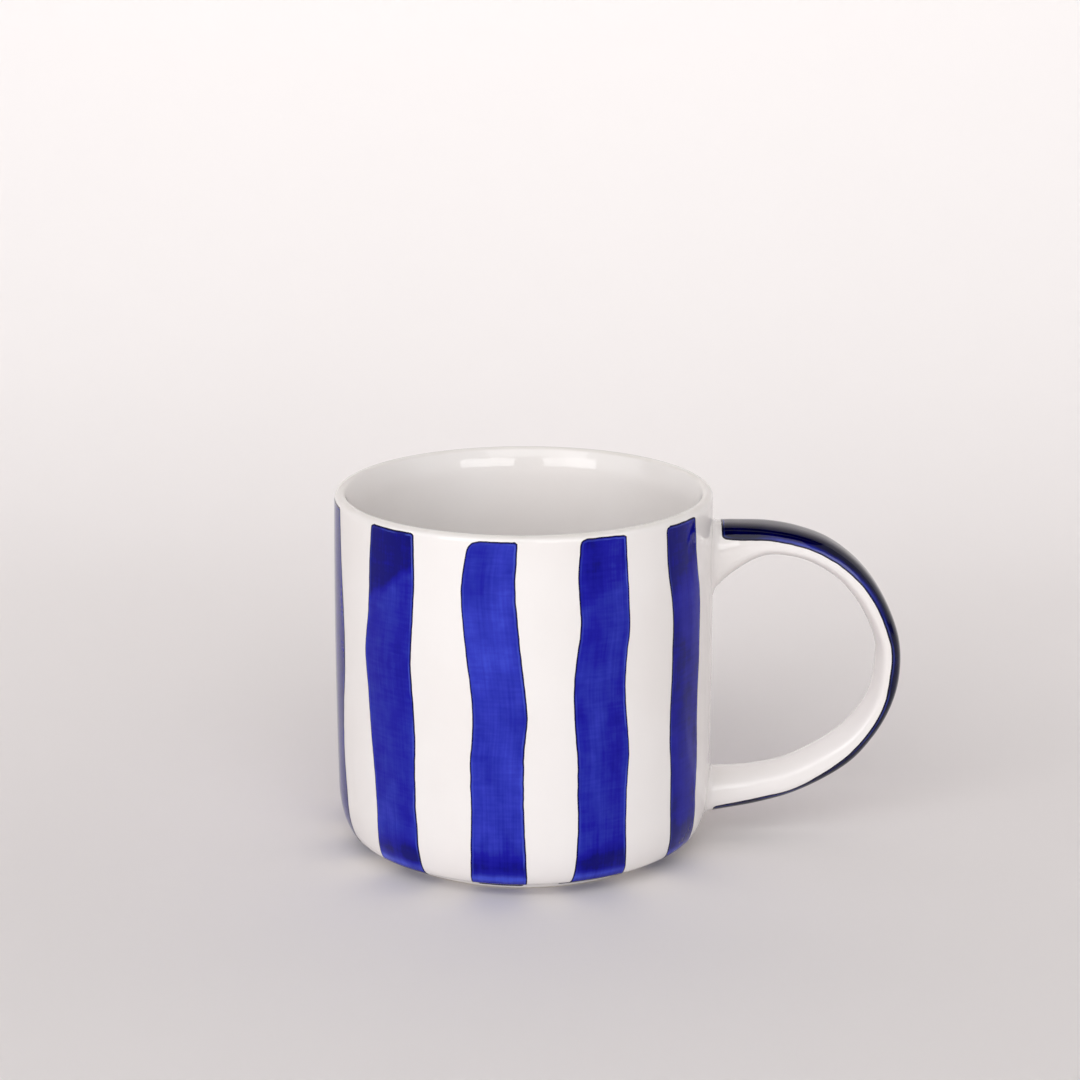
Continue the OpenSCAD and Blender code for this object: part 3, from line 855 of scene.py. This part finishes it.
# ---------------------------------------------------------------- floor, light and camera
def build_floor():
    """A sheet of pale paper: flat under the mug, rising in a long curve behind it."""
    rise_at, rise_r, top = 0.20, 0.55, 2.4
    line = [(-3.5, 0), (-1.5, 0), (-0.7, 0), (-0.3, 0), (-0.1, 0), (0.1, 0), (rise_at, 0)]
    for i in range(1, 49):
        a = math.radians(90 * i / 48)
        line.append((rise_at + rise_r * math.sin(a), rise_r - rise_r * math.cos(a)))
    line.append((rise_at + rise_r, top))
    points = [(x, y, z) for y, z in line for x in (-3.0, 3.0)]
    faces = [(2 * i, 2 * i + 1, 2 * i + 3, 2 * i + 2) for i in range(len(line) - 1)]
    floor = make_piece("floor", points, faces)
    n = Nodes("pale_paper")
    tone = n.mix(n.noise(3.0, 2.0), (0.842, 0.804, 0.797, 1), (0.862, 0.824, 0.817, 1))
    n.link(tone, n.shader.inputs["Base Color"])
    n.link(n.bump(n.noise(900, 3.0), 0.00003, 0.3), n.shader.inputs["Normal"])
    n.shader.inputs["Roughness"].default_value = 0.9
    n.shader.inputs["Specular IOR Level"].default_value = 0.2
    floor.data.materials.append(n.material)


def area_light(name, azimuth, elevation, distance, width, height, power, aim=(0, 0, 0.05), spread=180):
    """A soft window-like light. azimuth is from -Y towards +X, in degrees, seen from the aim point."""
    a, e = math.radians(azimuth), math.radians(elevation)
    away = Vector((math.sin(a) * math.cos(e), -math.cos(a) * math.cos(e), math.sin(e)))
    data = bpy.data.lights.new(name, "AREA")
    data.shape = "RECTANGLE"
    data.size, data.size_y = width, height
    data.energy, data.spread = power, math.radians(spread)
    light = bpy.data.objects.new(name, data)
    light.location = Vector(aim) + away * distance
    light.rotation_mode = "QUATERNION"
    light.rotation_quaternion = away.to_track_quat("Z", "Y")
    bpy.context.scene.collection.objects.link(light)


def build_world(bright, dark):
    """Room light that is stronger near the horizon and dim overhead."""
    world = bpy.data.worlds.new("room")
    bpy.context.scene.world = world
    world.use_nodes = True
    nodes, links = world.node_tree.nodes, world.node_tree.links
    place = nodes.new("ShaderNodeTexCoord")
    split = nodes.new("ShaderNodeSeparateXYZ")
    ramp = nodes.new("ShaderNodeMapRange")
    ramp.interpolation_type = "SMOOTHSTEP"
    links.new(place.outputs["Generated"], split.inputs["Vector"])
    links.new(split.outputs["Z"], ramp.inputs["Value"])
    for socket, value in (("From Min", 0.35), ("From Max", 0.75), ("To Min", bright), ("To Max", dark)):
        ramp.inputs[socket].default_value = value
    background = nodes["Background"]
    background.inputs["Color"].default_value = (1.0, 0.985, 0.975, 1)
    links.new(ramp.outputs["Result"], background.inputs["Strength"])


build_floor()
build_world(0.09, 0.0)
area_light("window_left", -32, 14, 2.6, 1.70, 0.84, 15.5)
area_light("window_right", 25, 14, 2.6, 1.70, 0.72, 14.5)
area_light("ceiling_bounce", -10, 42, 2.6, 3.1, 1.6, 32.0)
area_light("left_bounce", -58, 22, 1.3, 1.4, 1.0, 4.3)
area_light("right_bounce", 82, 28, 1.3, 2.2, 1.2, 4.4)
area_light("backdrop_light", 0, 30, 0.8, 1.2, 0.4, 1.35, aim=(0, 0.72, 0.30), spread=125)

CAMERA_AT = (0, -0.600, 0.2379)
CAMERA_DOWN = math.radians(15.22)                   # how far it looks down
CAMERA_RIGHT = math.radians(0.368)                  # how far it is turned towards +X
camera_data = bpy.data.cameras.new("camera")
camera_data.lens = 86.67
camera_data.sensor_width = 36
camera = bpy.data.objects.new("camera", camera_data)
camera.location = CAMERA_AT
camera.rotation_euler = (math.pi / 2 - CAMERA_DOWN, 0, -CAMERA_RIGHT)
bpy.context.scene.collection.objects.link(camera)
bpy.context.scene.camera = camera
bpy.context.scene.view_settings.view_transform = "Standard"
